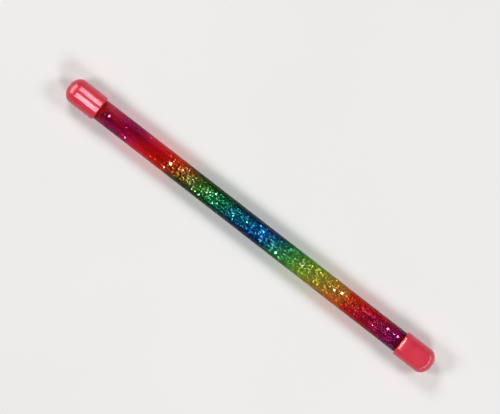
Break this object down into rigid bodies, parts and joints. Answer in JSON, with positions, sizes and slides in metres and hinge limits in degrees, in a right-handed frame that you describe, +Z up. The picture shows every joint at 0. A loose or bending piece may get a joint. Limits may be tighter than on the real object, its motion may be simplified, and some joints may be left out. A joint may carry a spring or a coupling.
{
  "type": "glitter wand",
  "caption": "Clear tube wand lined with rainbow film and filled with liquid and loose silver glitter that drifts from end to end, closed by domed coral red caps.",
  "frame": {"origin": "on the surface under the wand, below the middle of its length", "axes": "+X along the wand towards its lower end, +Z up, the wand lying down"},
  "size_m": [0.32, 0.019, 0.0189],
  "materials": {
    "cap_plastic": "glossy coral red moulded plastic",
    "stopper_plastic": "satin red moulded plastic",
    "tube_plastic": "clear glossy plastic",
    "rainbow_film": "see-through film, coloured from purple through red, yellow, green and blue and back",
    "liquid": "clear liquid",
    "glitter": "mirror-bright aluminised film flakes"
  },
  "bodies": {
    "wand": {"outer_tube": "tube_plastic", "rainbow_film": "rainbow_film", "liquid_fill": "liquid", "upper_stopper": "stopper_plastic", "lower_stopper": "stopper_plastic", "upper_cap": "cap_plastic", "lower_cap": "cap_plastic"},
    "upper_glitter": {"upper_flake_01": "glitter", "upper_flake_02": "glitter", "upper_flake_03": "glitter", "upper_flake_04": "glitter", "upper_flake_05": "glitter", "upper_flake_06": "glitter"},
    "upper_middle_glitter": {"upper_middle_flake_01": "glitter", "upper_middle_flake_02": "glitter", "upper_middle_flake_03": "glitter", "upper_middle_flake_04": "glitter", "upper_middle_flake_05": "glitter", "upper_middle_flake_06": "glitter", "upper_middle_flake_07": "glitter", "upper_middle_flake_08": "glitter", "upper_middle_flake_09": "glitter", "upper_middle_flake_10": "glitter", "upper_middle_flake_11": "glitter", "upper_middle_flake_12": "glitter"},
    "lower_middle_glitter": {"lower_middle_flake_01": "glitter", "lower_middle_flake_02": "glitter", "lower_middle_flake_03": "glitter", "lower_middle_flake_04": "glitter", "lower_middle_flake_05": "glitter", "lower_middle_flake_06": "glitter", "lower_middle_flake_07": "glitter", "lower_middle_flake_08": "glitter", "lower_middle_flake_09": "glitter", "lower_middle_flake_10": "glitter", "lower_middle_flake_11": "glitter", "lower_middle_flake_12": "glitter", "lower_middle_flake_13": "glitter", "lower_middle_flake_14": "glitter"},
    "lower_glitter": {"lower_flake_01": "glitter", "lower_flake_02": "glitter", "lower_flake_03": "glitter", "lower_flake_04": "glitter", "lower_flake_05": "glitter", "lower_flake_06": "glitter", "lower_flake_07": "glitter", "lower_flake_08": "glitter", "lower_flake_09": "glitter", "lower_flake_10": "glitter", "lower_flake_11": "glitter", "lower_flake_12": "glitter", "lower_flake_13": "glitter", "lower_flake_14": "glitter", "lower_flake_15": "glitter", "lower_flake_16": "glitter"}
  },
  "joints": [
    {"name": "upper_glitter_drift", "type": "slide", "parent": "wand", "child": "upper_glitter", "axis": [1, 0, 0], "range_m": [0, 0.1953]},
    {"name": "upper_middle_glitter_drift", "type": "slide", "parent": "wand", "child": "upper_middle_glitter", "axis": [1, 0, 0], "range_m": [-0.0651, 0.1302]},
    {"name": "lower_middle_glitter_drift", "type": "slide", "parent": "wand", "child": "lower_middle_glitter", "axis": [1, 0, 0], "range_m": [-0.1302, 0.0651]},
    {"name": "lower_glitter_drift", "type": "slide", "parent": "wand", "child": "lower_glitter", "axis": [1, 0, 0], "range_m": [-0.1953, 0]}
  ]
}
